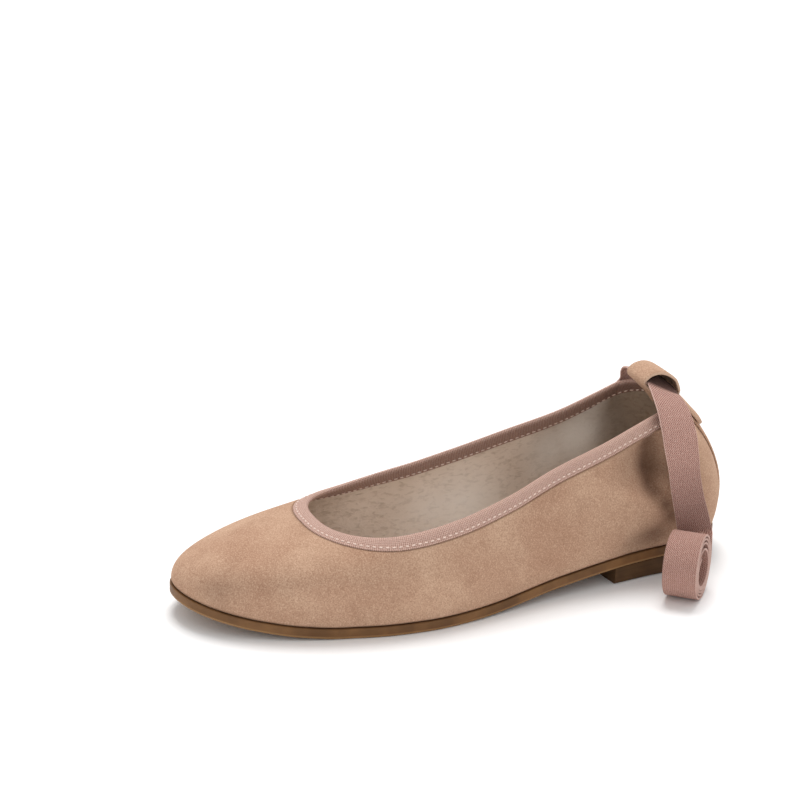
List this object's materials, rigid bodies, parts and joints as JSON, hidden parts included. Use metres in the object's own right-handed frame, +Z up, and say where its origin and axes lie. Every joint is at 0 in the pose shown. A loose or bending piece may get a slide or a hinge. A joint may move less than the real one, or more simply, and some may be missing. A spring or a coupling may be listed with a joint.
{
  "type": "ballet flat",
  "caption": "Low suede ballet flat for the left foot: round toe, folded ribbon binding, low heel, elastic ankle ribbon through a heel loop with rolled ends.",
  "frame": {"origin": "on the floor under the middle of the heel block", "axes": "+Z up, -Y towards the toe, +X towards the outer side of the left foot"},
  "size_m": [0.1274, 0.2389, 0.0817],
  "materials": {
    "suede": "matte napped suede, warm beige rose",
    "grosgrain": "fine ribbed ribbon, dusty pink, slight sheen",
    "sole_leather": "smooth tan sole leather, satin edge",
    "heel_stack": "dark stacked leather, satin",
    "pearl_leather": "pearl metallic leather, finely wrinkled",
    "elastic_ribbon": "woven elastic ribbon, dusty pink, matte"
  },
  "bodies": {
    "root": {"upper": "suede", "topline_binding": "grosgrain", "outsole": "sole_leather", "heel": "heel_stack", "insole": "pearl_leather", "backstay": "suede", "heel_loop": "suede", "ankle_elastic": "elastic_ribbon"}
  },
  "joints": []
}
